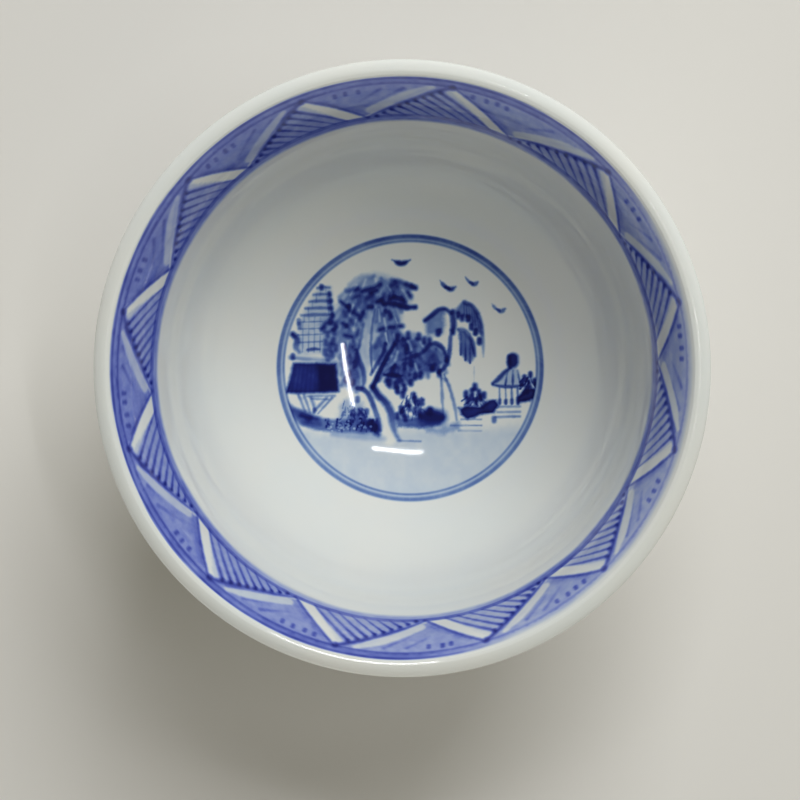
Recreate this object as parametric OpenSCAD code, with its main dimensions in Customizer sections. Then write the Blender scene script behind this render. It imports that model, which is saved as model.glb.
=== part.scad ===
// Porcelain teacup with a painted border inside the lip and a painted roundel in the well.
// It stands on its foot ring: +Z is up, and the origin is the middle of the ring's contact face.

/* [Cup] */
// Outside diameter of the lip
rim_d = 84; // [81:1:87]
// Height from the table to the top of the lip
height = 46; // [44:1:49]
// Thickness of the rounded lip, glaze included
lip_t = 2.6; // [2.2:0.1:3]
// Height of the lip's rounding as a share of half its thickness: 1 is a half circle, and less is flatter
lip_round = 0.6; // [0.5:0.05:1]
// Thickness of the floor, glaze included
floor_t = 3.2; // [2.8:0.1:3.6]

/* [Bowl curve] */
// Radius of the shallow curve across the well
well_r = 48; // [45:1:52]
// Radius of the tighter curve that turns the well up into the wall
belly_r = 25; // [23:1:27]
// Slope of the wall at its steepest, measured from level
steepest = 78; // [74:1:80]

/* [Foot ring] */
// Outside diameter of the ring at its contact face
foot_d = 37; // [34:1:40]
// Thickness of the ring at its contact face
foot_t = 3; // [2.4:0.2:3.6]
// Height of the recess inside the ring, in the middle
recess_h = 4.2; // [3.6:0.2:5]
// Bare height at the bottom of the ring, where the glaze was wiped off
bare_h = 1.4; // [0.8:0.2:2]

/* [Glaze and cobalt] */
// Thickness of the clear glaze
glaze_t = 0.35; // [0.25:0.05:0.5]
// Depth that the cobalt soaks into the body
cobalt_t = 0.15; // [0.1:0.05:0.25]

/* [Painted border] */
// Number of repeats around the lip
repeats = 12; // [9:1:15]
// Direction of one of the zigzag's outer points, from the +X axis
first_point = 15; // [0:1:30]
// Depth of the border's upper edge below the top of the lip
border_top = 0.6; // [0.6:0.1:1.2]
// Depth of the border's lower edge below the top of the lip
border_bottom = 11.5; // [10:0.1:13]
// Width of the line along the border's upper edge
upper_line = 1.5; // [1:0.1:2]
// Width of the line along the border's lower edge
lower_line = 1.5; // [1:0.1:2]
// Width of the white stripes between the panels
stripe_w = 1.7; // [1.2:0.1:2.2]

/* [Painted roundel] */
// Outside diameter of the ring around the scene
roundel_d = 40; // [36:1:42]

/* [Hidden] */

round_fn = 180;         // smoothness of every surface of revolution
step_angle = 3;        // spacing of the stations along a curved wall
cut = 0.3;             // how far a cutter passes through the surface that it cuts
foot_flare = 0.5;      // how much wider the ring is where it joins the bowl
foot_edge = 0.5;       // bevel along both edges of the contact face

porcelain = "#f1f1ea";
glaze = "#dfe7e6";
dark_cobalt = "#1c2468";
cobalt = "#38489c";
pale_cobalt = "#93a3cf";

// Unit normal of a surface that slopes at an angle from level, pointing from the cavity into the wall.
function normal(angle) = [sin(angle), -cos(angle)];

// Stations along an arc: each one is a point of the inner surface and the slope there.
function arc_stations(centre, radius, from, to) =
    let (steps = ceil(abs(to - from) / step_angle))
    [for (i = [0:steps]) let (a = from + (to - from) * i / steps) [centre + radius * normal(a), a]];

function tail(list) = [for (i = [1:len(list) - 1]) list[i]];
function reversed(list) = [for (i = [len(list) - 1:-1:0]) list[i]];

// The point at a depth into the wall from a station, and a run of such points.
function at(station, depth) = station[0] + depth * normal(station[1]);
function skin(stations, depth) = [for (s = stations) at(s, depth)];

// A quadratic curve from one point to another, pulled towards a corner.
function blend(from, corner, to) =
    [for (t = [0:0.2:1]) (1 - t) * (1 - t) * from + 2 * t * (1 - t) * corner + t * t * to];

// Well: one shallow arc, parted where the foot ring's two sides meet the underside.
floor_z = recess_h + floor_t;
body_floor = floor_t - glaze_t;
well_c = [0, floor_z + well_r];
foot_top_r = foot_d / 2 + foot_flare;
recess_top_r = foot_d / 2 - foot_t - foot_flare;
foot_angle = asin(foot_top_r / (well_r + body_floor));
recess_angle = asin(recess_top_r / (well_r + body_floor));

// Belly: a tighter arc that runs on smoothly from the well.
belly_c = well_c + (well_r - belly_r) * normal(foot_angle);

// Flared lip: an arc that turns outwards from the belly's steep top and ends in the middle of the lip.
half_lip = lip_t / 2;
flare_start = belly_c + (belly_r + half_lip) * normal(steepest);
function end_slope(centre) = let (run = centre - flare_start) 2 * atan2(run.y, run.x) - steepest;

// How far the lip's rounding reaches out and up from its middle, for a wall that ends at a slope.
function lip_reach(slope) =
    half_lip * [norm([sin(slope), lip_round * cos(slope)]), norm([cos(slope), lip_round * sin(slope)])];

// The reach and the slope depend on each other, and two rounds bring them within a hundredth of a millimetre.
rim_corner = [rim_d / 2, height];
lip_guess = rim_corner - lip_reach(end_slope(rim_corner - lip_reach(steepest)));
lip_c = rim_corner - lip_reach(end_slope(lip_guess));
lip_angle = end_slope(lip_c);
flare_r = norm(lip_c - flare_start) / (2 * sin((steepest - lip_angle) / 2));
flare_c = flare_start + flare_r * normal(steepest);

recess_part = arc_stations(well_c, well_r, 0, recess_angle);
foot_part = arc_stations(well_c, well_r, recess_angle, foot_angle);
belly_part = arc_stations(belly_c, belly_r, foot_angle, steepest);
flare_part = arc_stations(flare_c, -flare_r - half_lip, steepest, lip_angle);

wall_part = concat(belly_part, tail(flare_part));
stations = concat(recess_part, tail(foot_part), tail(wall_part));

// The wall thins evenly from the floor's thickness at the foot to the lip's at the top.
wall_foot_z = belly_part[0][0].y;
wall_top_z = flare_part[len(flare_part) - 1][0].y;
function wall_t(station) =
    floor_t + (lip_t - floor_t) * max(0, station[0].y - wall_foot_z) / (wall_top_z - wall_foot_z);
function outside(stations, below) = [for (s = stations) at(s, wall_t(s) - below)];

// Half ellipse over the lip at a depth below its surface, from the inner side to the outer side.
up_wall = [cos(lip_angle), sin(lip_angle)];
function lip_cap(depth) = [for (i = [0:12])
    lip_c - (half_lip - depth) * cos(15 * i) * normal(lip_angle)
          + (half_lip * lip_round - depth) * sin(15 * i) * up_wall];

// Sides of the foot ring: where a side is at a height, for the outer and the inner side.
outer_foot = [[foot_d / 2, foot_edge], at(belly_part[0], body_floor)];
inner_foot = [[foot_d / 2 - foot_t, foot_edge], at(foot_part[0], body_floor)];
function on_side(side, z) = side[0] + (side[1] - side[0]) * (z - side[0].y) / (side[1].y - side[0].y);

// A solid turned about the cup's axis from an outline of radius and height.
module turned(outline) rotate_extrude($fn = round_fn) polygon(outline);

// The layer of body that takes the cobalt, inside and outside.
module inner_paint_layer(stations, above = 0)
    turned(concat(skin(stations, glaze_t - above), reversed(skin(stations, glaze_t + cobalt_t))));
module outer_paint_layer(stations, above = 0)
    turned(concat(outside(stations, glaze_t + cobalt_t), reversed(outside(stations, glaze_t - above))));

// Between two heights, or inside a radius.
module slab(low, high) translate([0, 0, low]) cylinder(h = high - low, r = rim_d, $fn = round_fn);
module core(radius) cylinder(h = height, r = radius, $fn = round_fn);

// ---- Painted border -------------------------------------------------------------------------

border_high = height - border_top;
border_low = height - border_bottom;
panel_high = border_high - upper_line * sin(lip_angle);
panel_low = border_low + lower_line * sin(steepest);
step = 360 / repeats;
climb = 0.42;          // part of a repeat over which a stripe climbs; the next one falls over the rest

// Radius of the inner surface at the height of the panels' two edges, near enough for the outlines.
outer_edge_r = rim_d / 2 - 2.9;
inner_edge_r = rim_d / 2 - 7;

function polar(radius, angle) = radius * [cos(angle), sin(angle)];

module in_border(low, high, above) intersection() {
    inner_paint_layer(flare_part, above);
    slab(low, high);
}

module upper_line_paint(above = 0) in_border(border_high - upper_line * sin(lip_angle), border_high, above);
module lower_line_paint(above = 0) in_border(border_low, border_low + lower_line * sin(steepest), above);

// A tall prism over a triangle that is shrunk by half a stripe along its two slanting sides.
module panel_prism(tip, left, right) linear_extrude(height) {
    along_left = (left - tip) / norm(left - tip);
    along_right = (right - tip) / norm(right - tip);
    middle = (along_left + along_right) / norm(along_left + along_right);
    half_angle = acos(along_left * middle);
    moved = tip + middle * stripe_w / 2 / sin(half_angle);
    reach = 1.4 * max(norm(left - tip), norm(right - tip));
    polygon([moved, moved + reach * along_left, moved + reach * along_right]);
}

// The white stripes zigzag between the two lines. Hatched panels point out, and dotted ones point in.
module hatched_prisms() for (i = [0:repeats - 1]) rotate(first_point + i * step)
    panel_prism(polar(outer_edge_r, 0), polar(inner_edge_r, -step * climb),
                polar(inner_edge_r, step * (1 - climb)));
module dotted_prisms() for (i = [0:repeats - 1]) rotate(first_point + i * step)
    panel_prism(polar(inner_edge_r, -step * climb), polar(outer_edge_r, -step), polar(outer_edge_r, 0));

module dotted_paint(above = 0) intersection() {
    in_border(panel_low, panel_high, above);
    dotted_prisms();
}
module hatched_paint(above = 0) intersection() {
    in_border(panel_low, panel_high, above);
    hatched_prisms();
}

// ---- Painted roundel ------------------------------------------------------------------------

roundel_r = roundel_d / 2;
line_w = 0.45;
ring_w = 1.4;
scene_r = roundel_r - ring_w - line_w;

// Everything in the scene is laid out on a disc of radius 1 and scaled to the roundel.
module in_well(above) intersection() {
    inner_paint_layer(concat(recess_part, tail(foot_part), tail(belly_part)), above);
    linear_extrude(height) intersection() {
        scale(roundel_r) children();
        circle(scene_r - 0.2, $fn = round_fn);
    }
}

module ring_paint(outer, inner, above) intersection() {
    inner_paint_layer(concat(recess_part, tail(foot_part), tail(belly_part)), above);
    difference() {
        core(outer);
        core(inner);
    }
}

module outer_line_paint(above = 0) ring_paint(roundel_r, roundel_r - line_w, above);
module wash_ring_paint(above = 0) ring_paint(roundel_r - line_w, roundel_r - ring_w, above);
module inner_line_paint(above = 0) ring_paint(roundel_r - ring_w, scene_r, above);

// A straight brush stroke between two points, and a round dab.
module stroke(from, to, width) {
    length = norm(to - from);
    translate(from) rotate(atan2(to.y - from.y, to.x - from.x)) translate([0, -width / 2])
        square([length, width]);
}
module dab(centre, radius) translate(centre) circle(radius, $fn = 10);

// A bird is one tick of the brush, with its heavy end at the bottom.
module bird(low, left, right) polygon([low + left, low + [0, 0.02], low + right, low - [0, 0.02]]);

module birds_paint(above = 0) in_well(above) {
    bird([-0.07, 0.78], [-0.07, 0.03], [0.06, 0.03]);
    bird([0.3, 0.59], [-0.08, 0.06], [0.04, 0.02]);
    bird([0.48, 0.63], [-0.06, 0.06], [0.03, 0.02]);
    bird([0.68, 0.43], [-0.06, 0.05], [0.04, 0]);
}

// Roofs of a distant pagoda, each one wider than the one above it.
module pagoda_paint(above = 0) in_well(above) for (i = [0:8])
    stroke([-0.69 - 0.02 * i, 0.6 - 0.055 * i], [-0.6 + 0.006 * i, 0.6 - 0.055 * i], 0.026);

// Hut: a dark roof on four leaning stilts.
module hut_paint(above = 0) in_well(above) {
    polygon([[-0.87, 0.04], [-0.59, 0.04], [-0.55, -0.18], [-0.92, -0.18]]);
    for (x = [-0.81, -0.75]) stroke([x, -0.2], [x + 0.03, -0.31], 0.02);
    for (x = [-0.66, -0.59]) stroke([x, -0.2], [x - 0.07, -0.32], 0.02);
}

// Old tree: a forked trunk under a layered crown, and a second mass of leaves to its right.
module tree_paint(above = 0) in_well(above) {
    polygon([[-0.24, -0.5], [-0.28, -0.26], [-0.36, -0.06], [-0.36, 0.3], [-0.31, 0.3], [-0.29, 0],
             [-0.13, 0.18], [-0.1, 0.15], [-0.24, -0.08], [-0.16, -0.28], [-0.12, -0.5]]);
    polygon([[-0.5, 0.4], [-0.52, 0.52], [-0.42, 0.62], [-0.3, 0.7], [-0.1, 0.66], [0.03, 0.61], [-0.02, 0.52],
             [0.04, 0.46], [-0.06, 0.4], [-0.08, 0.32], [-0.26, 0.38], [-0.4, 0.34]]);
    polygon([[-0.08, 0.2], [0.04, 0.22], [0.12, 0.24], [0.2, 0.16], [0.18, 0.02], [0.08, -0.06], [-0.06, -0.1],
             [-0.12, 0.04]]);
}

// Willow: two lines of trunk that lean together and fronds that arch from its top.
module willow_paint(above = 0) in_well(above) {
    polygon([[0.23, -0.4], [0.22, -0.06], [0.27, 0.06], [0.3, 0.36], [0.33, 0.36], [0.3, 0.06], [0.26, -0.06],
             [0.34, -0.38]]);
    polygon([[0.29, 0.44], [0.2, 0.44], [0.11, 0.35], [0.12, 0.26], [0.2, 0.26], [0.24, 0.4]]);
    polygon([[0.34, 0.42], [0.41, 0.5], [0.5, 0.44], [0.55, 0.28], [0.54, 0.1], [0.51, 0.22], [0.46, 0.28],
             [0.42, 0.37]]);
    polygon([[0.36, 0.28], [0.41, 0.29], [0.47, 0.2], [0.49, 0.1], [0.44, 0.04], [0.37, 0.1]]);
}

// Banks and rocks along the water, each with a shrub of dabs over it.
module rocks_paint(above = 0) in_well(above) {
    polygon([[-0.9, -0.27], [-0.78, -0.33], [-0.68, -0.38], [-0.56, -0.39], [-0.44, -0.38], [-0.28, -0.39],
             [-0.26, -0.5], [-0.5, -0.47], [-0.7, -0.46], [-0.84, -0.4]]);
    polygon([[-0.1, -0.39], [0.06, -0.37], [0.14, -0.31], [0.22, -0.34], [0.21, -0.43], [-0.09, -0.45]]);
    polygon([[0.36, -0.29], [0.5, -0.28], [0.62, -0.24], [0.62, -0.3], [0.57, -0.35], [0.42, -0.38],
             [0.37, -0.36]]);
    polygon([[0.83, -0.19], [0.85, -0.16], [0.88, -0.15], [0.87, -0.2], [0.84, -0.24]]);
    for (i = [0:3]) dab([-0.06 + 0.05 * i, -0.15 - 0.05 * i], 0.03);
    for (i = [0:2]) dab([0.42 + 0.055 * i, -0.21 + 0.03 * i], 0.025);
}

// Pavilion: a ball on a pointed roof, four posts and two steps.
module pavilion_paint(above = 0) in_well(above) {
    dab([0.76, 0.06], 0.048);
    polygon([[0.74, 0], [0.79, 0], [0.84, -0.14], [0.62, -0.14]]);
    for (x = [0.66, 0.71, 0.75, 0.8]) stroke([x, -0.16], [x, -0.28], 0.018);
    for (y = [-0.31, -0.36]) stroke([0.65, y], [0.81, y], 0.022);
}

// Pale water below the banks.
module water_paint(above = 0) in_well(above)
    translate([-1, -1]) square([2, 0.44]);

// ---- Lines outside --------------------------------------------------------------------------

line_h = 0.5;
outside_line_z = [height - 3.6, height - 2.6];

module outside_lip_paint(above = 0) for (z = outside_line_z) intersection() {
    outer_paint_layer(flare_part, above);
    slab(z, z + line_h);
}

// Lines around the foot ring's outer side, one above the other.
foot_line_z = [3, 4.2];
module outside_foot_paint(above = 0) for (z = foot_line_z)
    turned([on_side(outer_foot, z) - [cobalt_t, 0], on_side(outer_foot, z) + [above, 0],
            on_side(outer_foot, z + line_h) + [above, 0], on_side(outer_foot, z + line_h) - [cobalt_t, 0]]);

// ---- Body -----------------------------------------------------------------------------------

module inside_paint(above) {
    upper_line_paint(above);
    lower_line_paint(above);
    dotted_paint(above);
    hatched_paint(above);
    outer_line_paint(above);
    wash_ring_paint(above);
    inner_line_paint(above);
    birds_paint(above);
    pagoda_paint(above);
    hut_paint(above);
    tree_paint(above);
    willow_paint(above);
    rocks_paint(above);
    pavilion_paint(above);
    water_paint(above);
}

module bowl_body() color(porcelain) difference() {
    turned(concat(skin(stations, glaze_t), tail(lip_cap(glaze_t)),
                  tail(reversed(outside(stations, glaze_t)))));
    inside_paint(cut);
    outside_lip_paint(cut);
}

module foot_ring() color(porcelain) difference() {
    turned(concat([outer_foot[0], [foot_d / 2 - foot_edge, 0], [foot_d / 2 - foot_t + foot_edge, 0],
                   inner_foot[0]], skin(foot_part, body_floor)));
    outside_foot_paint(cut);
}

// ---- Glaze ----------------------------------------------------------------------------------

module inner_glaze() color(glaze)
    turned(concat(skin(stations, 0), reversed(skin(stations, glaze_t))));

module lip_glaze() color(glaze)
    turned(concat(lip_cap(0), reversed(lip_cap(glaze_t))));

// Glaze outside, with a soft fillet where it runs from the wall onto the foot ring.
module outer_glaze() color(glaze) {
    corner = at(belly_part[0], floor_t) + [glaze_t, 0];
    turned(concat([on_side(outer_foot, bare_h)], outside(wall_part, glaze_t),
                  reversed(outside(tail(wall_part), 0)),
                  blend(at(belly_part[1], floor_t), corner, on_side(outer_foot, corner.y - 1.6) + [glaze_t, 0]),
                  [on_side(outer_foot, bare_h) + [glaze_t, glaze_t / 2]]));
}

module recess_glaze() color(glaze) {
    corner = at(foot_part[0], floor_t) - [glaze_t, 0];
    turned(concat(skin(recess_part, body_floor), [on_side(inner_foot, bare_h),
                  on_side(inner_foot, bare_h) + [-glaze_t, glaze_t / 2]],
                  blend(on_side(inner_foot, corner.y - 1.4) - [glaze_t, 0], corner,
                        at(recess_part[len(recess_part) - 2], floor_t)),
                  tail(tail(reversed(skin(recess_part, floor_t))))));
}

// ---- Nodes ----------------------------------------------------------------------------------

module border_upper_line() color(cobalt) upper_line_paint();
module border_dotted_panels() color(cobalt) dotted_paint();
module border_hatched_panels() color(pale_cobalt) hatched_paint();
module border_lower_line() color(cobalt) lower_line_paint();
module roundel_outer_line() color(dark_cobalt) outer_line_paint();
module roundel_wash_ring() color(pale_cobalt) wash_ring_paint();
module roundel_inner_line() color(cobalt) inner_line_paint();
module roundel_birds() color(cobalt) birds_paint();
module roundel_pagoda() color(cobalt) pagoda_paint();
module roundel_hut() color(dark_cobalt) hut_paint();
module roundel_tree() color(cobalt) tree_paint();
module roundel_willow() color(cobalt) willow_paint();
module roundel_rocks() color(dark_cobalt) rocks_paint();
module roundel_pavilion() color(cobalt) pavilion_paint();
module roundel_water() color(pale_cobalt) water_paint();
module outside_lip_lines() color(cobalt) outside_lip_paint();
module outside_foot_lines() color(cobalt) outside_foot_paint();

bowl_body();
foot_ring();
inner_glaze();
lip_glaze();
outer_glaze();
recess_glaze();
border_upper_line();
border_dotted_panels();
border_hatched_panels();
border_lower_line();
roundel_outer_line();
roundel_wash_ring();
roundel_inner_line();
roundel_birds();
roundel_pagoda();
roundel_hut();
roundel_tree();
roundel_willow();
roundel_rocks();
roundel_pavilion();
roundel_water();
outside_lip_lines();
outside_foot_lines();
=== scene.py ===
"""Porcelain teacup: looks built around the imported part. Lengths are millimetres until a mesh is made."""

import math

import bpy
import numpy as np
from mathutils import Matrix, Quaternion, Vector


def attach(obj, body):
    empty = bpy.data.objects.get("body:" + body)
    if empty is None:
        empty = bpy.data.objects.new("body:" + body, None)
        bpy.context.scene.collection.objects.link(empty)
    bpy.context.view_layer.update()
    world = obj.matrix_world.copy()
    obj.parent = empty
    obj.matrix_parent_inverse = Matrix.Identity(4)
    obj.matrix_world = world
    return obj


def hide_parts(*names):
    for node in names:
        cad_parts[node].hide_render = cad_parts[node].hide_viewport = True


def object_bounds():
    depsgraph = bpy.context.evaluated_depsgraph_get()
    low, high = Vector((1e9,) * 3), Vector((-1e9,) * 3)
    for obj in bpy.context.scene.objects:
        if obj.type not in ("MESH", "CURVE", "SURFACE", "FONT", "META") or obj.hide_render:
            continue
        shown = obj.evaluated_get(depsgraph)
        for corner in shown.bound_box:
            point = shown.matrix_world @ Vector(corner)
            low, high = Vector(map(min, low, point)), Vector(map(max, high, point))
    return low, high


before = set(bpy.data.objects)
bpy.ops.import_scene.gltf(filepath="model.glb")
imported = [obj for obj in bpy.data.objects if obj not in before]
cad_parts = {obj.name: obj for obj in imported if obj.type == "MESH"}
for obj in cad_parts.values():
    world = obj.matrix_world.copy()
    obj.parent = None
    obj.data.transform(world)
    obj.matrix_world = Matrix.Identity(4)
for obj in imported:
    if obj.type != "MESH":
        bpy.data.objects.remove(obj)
cad_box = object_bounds()

MM = 0.001

# ---- Dimensions, as in part.scad ----

CUP_LOW, CUP_HIGH = cad_box
RIM_R = (CUP_HIGH.x - CUP_LOW.x) / 2 / MM
HEIGHT = (CUP_HIGH.z - CUP_LOW.z) / MM
LIP_T = 2.6             # across the lip's bead
LIP_ROUND = 0.6         # the bead's height, as a share of a full round's
FLOOR_T = 3.2
WELL_R = 48             # curve of the well, seen from the side
BELLY_R = 25            # curve between the well and the wall
STEEPEST = math.radians(78)
FOOT_R = 18.5
FOOT_T = 3
FOOT_FLARE = 0.5        # how much wider the foot ring is on each side where it meets the bowl
FOOT_EDGE = 0.5         # rounding of its contact face
RECESS_H = 4.2
BARE_H = 1.4            # the foot is unglazed below this
GLAZE_T = 0.35
BORDER_LOW = HEIGHT - 11.5
BORDER_HIGH = HEIGHT - 0.6
ROUNDEL_R = 20
SCENE_R = 18.15
OUTSIDE_LINES = (HEIGHT - 3.6, HEIGHT - 2.6, 4.2, 3.0)      # heights of their lower edges
LINE_H = 0.5

# ---- Dimensions of the looks alone ----

SHELL = 0.3             # thickness of a piece: less than the glaze's, so it stays clear of the body
LIP_FACET = math.radians(18.7)      # lean of the flat that the run-off glaze leaves inside the lip
LIP_WIPE = 0.03         # depth of that flat
WIPED = 0.92            # share of what stands proud of it that is gone
OUT_FILLET = (1.4, 1.5)     # reach of the glaze's fillet along the bowl, and down the foot's outside
IN_FILLET = (1.8, 1.3)      # the same inside the foot ring
PAINT_SPREAD = 0.4      # how far the border's soft edges may run past its two lines
ARC_POINTS = 400


def normal(a):
    """Unit normal of a surface that slopes at an angle from level, from the cavity into the wall."""
    return np.array([np.sin(a), -np.cos(a)]).T


def arc(centre, radius, start, end, count=ARC_POINTS):
    """Points along an arc, given by the slopes at its two ends."""
    return np.array(centre) + radius * normal(np.linspace(start, end, count))


def blend(start, corner, end, count=60):
    """Points along a fillet that would otherwise be a corner."""
    t = np.linspace(0, 1, count)[:, None]
    return (1 - t) ** 2 * start + 2 * t * (1 - t) * corner + t ** 2 * end


def crossing(p, along_p, q, along_q):
    """Where two lines cross, each given by a point and a direction."""
    steps = np.linalg.solve(np.array([along_p, -along_q]).T, q - p)
    return p + steps[0] * along_p


def lip_reach(slope):
    """How far the lip's bead reaches out and up from its centre, where the wall ends at a slope."""
    half = LIP_T / 2
    return half * np.array([math.hypot(math.sin(slope), LIP_ROUND * math.cos(slope)),
                            math.hypot(math.cos(slope), LIP_ROUND * math.sin(slope))])


# Centre of the well's curve, and the bowl's slope over the outer and the inner side of the foot
WELL_C = np.array([0, RECESS_H + FLOOR_T + WELL_R])
UNDER_R = WELL_R + FLOOR_T - GLAZE_T
FOOT_A = math.asin((FOOT_R + FOOT_FLARE) / UNDER_R)
RECESS_A = math.asin((FOOT_R - FOOT_T - FOOT_FLARE) / UNDER_R)


def inside_and_lip():
    """The well, the belly, the flared wall and the lip, and the slope of the wall where it ends."""
    half = LIP_T / 2
    belly_c = WELL_C + (WELL_R - BELLY_R) * normal(FOOT_A)
    flare_start = belly_c + (BELLY_R + half) * normal(STEEPEST)

    def end_slope(c):
        """Slope of the wall under a lip centred there."""
        run = c - flare_start
        return 2 * math.atan2(run[1], run[0]) - STEEPEST

    corner = np.array([RIM_R, HEIGHT])
    guess = corner - lip_reach(end_slope(corner - lip_reach(STEEPEST)))
    lip_c = corner - lip_reach(end_slope(guess))
    lip_a = end_slope(lip_c)
    flare_r = np.linalg.norm(lip_c - flare_start) / (2 * math.sin((STEEPEST - lip_a) / 2))
    flare_c = flare_start + flare_r * normal(STEEPEST)
    turn = np.linspace(0, math.pi, 200)[:, None]
    up_wall = np.array([math.cos(lip_a), math.sin(lip_a)])
    lip = lip_c - half * np.cos(turn) * normal(lip_a) + half * LIP_ROUND * np.sin(turn) * up_wall
    # the glaze has run off the lip's inner side and left it nearly flat
    facing = np.array([-math.sin(LIP_FACET), math.cos(LIP_FACET)])
    over = lip @ facing
    over = np.maximum(0, over - over.max() + LIP_WIPE)
    lip = lip - WIPED * over[:, None] * facing
    return (arc(WELL_C, WELL_R, 0, FOOT_A), arc(belly_c, BELLY_R, FOOT_A, STEEPEST),
            arc(flare_c, -flare_r - half, STEEPEST, lip_a), lip, lip_a)


def outer_wall(belly, flare, lip_a):
    """The wall outside, from the lip down; its thickness goes evenly with the inner surface's height."""
    wall = np.vstack([belly, flare])
    slopes = np.concatenate([np.linspace(FOOT_A, STEEPEST, ARC_POINTS),
                             np.linspace(STEEPEST, lip_a, ARC_POINTS)])
    rise = (wall[:, 1] - belly[0][1]) / (flare[-1][1] - belly[0][1])
    thick = FLOOR_T + (LIP_T - FLOOR_T) * np.maximum(0, rise)
    outside = (wall + thick[:, None] * normal(slopes))[::-1]
    return outside[outside[:, 0] > FOOT_R + FOOT_FLARE + OUT_FILLET[0]]


def foot_side(r_low, slope):
    """Where the glaze on a side of the foot ends, and the side's direction up to the bowl."""
    low = np.array([r_low, FOOT_EDGE])
    run = WELL_C + UNDER_R * normal(slope) - low
    return low + run * (BARE_H - FOOT_EDGE) / run[1], run / np.linalg.norm(run)


def foot_and_recess(outside):
    """The foot ring, glazed on its sides and bare below, and the recess, with fillets to the bowl."""
    out_low, out_up = foot_side(FOOT_R, FOOT_A)
    in_low, in_up = foot_side(FOOT_R - FOOT_T, RECESS_A)
    coat = np.array([GLAZE_T, 0])
    roll = np.linspace(0, math.pi / 2, 12)[:, None]
    dip = coat * np.cos(roll) + np.array([0, GLAZE_T]) * (1 - np.sin(roll))
    edge = FOOT_EDGE * np.hstack([np.cos(roll), 1 - np.sin(roll)])
    sole = np.vstack([np.array([FOOT_R - FOOT_EDGE, 0]) + edge,
                      (np.array([FOOT_R - FOOT_T + FOOT_EDGE, 0]) + edge * [-1, 1])[::-1]])
    out_corner = crossing(outside[-1], outside[-1] - outside[-2], out_low + coat, out_up)
    recess = arc(WELL_C, WELL_R + FLOOR_T, RECESS_A, 0)
    recess = recess[recess[:, 0] < FOOT_R - FOOT_T - FOOT_FLARE - IN_FILLET[0]]
    in_corner = crossing(recess[0], recess[0] - recess[1], in_low - coat, in_up)
    out_fillet = blend(outside[-1], out_corner, out_corner - out_up * OUT_FILLET[1])
    in_fillet = blend(in_corner - in_up * IN_FILLET[1], in_corner, recess[0])
    return out_fillet, out_low + dip, sole, (in_low + dip * [-1, 1])[::-1], in_fillet, recess


def cup_skin():
    """The cup's whole surface as one line of radius and height: well, lip, outside, foot, recess."""
    well, belly, flare, lip, lip_a = inside_and_lip()
    outside = outer_wall(belly, flare, lip_a)
    skin = np.vstack([well, belly, flare, lip, outside, *foot_and_recess(outside)])
    step = np.linalg.norm(np.diff(skin, axis=0), axis=1)
    return skin[np.concatenate([[True], step > 1e-6])]


SKIN = cup_skin()
RUN = np.concatenate([[0], np.cumsum(np.linalg.norm(np.diff(SKIN, axis=0), axis=1))])
TOP = int(np.argmax(SKIN[:, 1]))            # where the skin passes over the lip
SOLE = int(np.argmin(SKIN[:, 1]))           # where it passes under the foot


def run_at(value, axis, first, last):
    """Distance along the skin at which the radius (axis 0) or height (axis 1) has a value."""
    part = SKIN[first:last, axis]
    order = np.argsort(part)
    return float(np.interp(value, part[order], RUN[first:last][order]))


def skin_at(run):
    """Points of the skin and its outward normals at distances along it."""
    point = np.array([np.interp(run, RUN, SKIN[:, k]) for k in (0, 1)]).T
    near = 0.04
    ahead = np.array([np.interp(run + near, RUN, SKIN[:, k]) for k in (0, 1)]).T
    behind = np.array([np.interp(run - near, RUN, SKIN[:, k]) for k in (0, 1)]).T
    along = ahead - behind
    along /= np.linalg.norm(along, axis=1)[:, None]
    return point, np.array([-along[:, 1], along[:, 0]]).T


# Distances along the skin of the edges between pieces, and of the border's two edges
SCENE_EDGE = run_at(SCENE_R, 0, 0, TOP)
ROUNDEL_EDGE = run_at(ROUNDEL_R + 0.3, 0, 0, TOP)
BORDER_START = run_at(BORDER_LOW, 1, 0, TOP)
BORDER_END = run_at(BORDER_HIGH, 1, 0, TOP)
PAINT_START = BORDER_START - PAINT_SPREAD
PAINT_END = BORDER_END + PAINT_SPREAD
LIP_END = run_at(HEIGHT - 1.6, 1, TOP, SOLE)
GLAZE_END = run_at(BARE_H, 1, TOP, SOLE)
RECESS_START = run_at(BARE_H, 1, SOLE, len(SKIN))


# ---- Brushwork ----

TAPER = 0.35            # share of a stroke's length over which each end narrows
FAR = 1e9


def ease(t):
    """A soft step from 0 to 1."""
    t = np.clip(t, 0, 1)
    return t * t * (3 - 2 * t)


def clouds(x, y, size, seed):
    """Smooth noise from 0 to 1 whose blobs are about one size across."""
    table = np.random.default_rng(seed).random((128, 128))
    u = x / size
    v = y / size
    i = np.floor(u).astype(int)
    j = np.floor(v).astype(int)
    across = ease(u - i)
    up = ease(v - j)
    low, high = [table[i % 128, k % 128] * (1 - across) + table[(i + 1) % 128, k % 128] * across
                 for k in (j, j + 1)]
    return low * (1 - up) + high * up


def clouds_around(angle, stretch, across, size, seed):
    """The same noise around the cup, by degrees, faded into itself where the circle closes."""
    t = ease((angle - 330) / 30)
    return ((1 - t) * clouds(angle * stretch, across, size, seed)
            + t * clouds((angle - 360) * stretch, across, size, seed))


def curve(points, steps=5):
    """A smooth path through the points."""
    p = np.array(points, float)
    if len(p) == 2:
        return p
    p = np.vstack([2 * p[0] - p[1], p, 2 * p[-1] - p[-2]])
    path = []
    for a, b, c, d in zip(p[:-3], p[1:-2], p[2:-1], p[3:]):
        for t in np.arange(steps) / steps:
            path.append(0.5 * (2 * b + (c - a) * t + (2 * a - 5 * b + 4 * c - d) * t * t
                               + (3 * b - a - 3 * c + d) * t ** 3))
    path.append(p[-2])
    return np.array(path)


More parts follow.
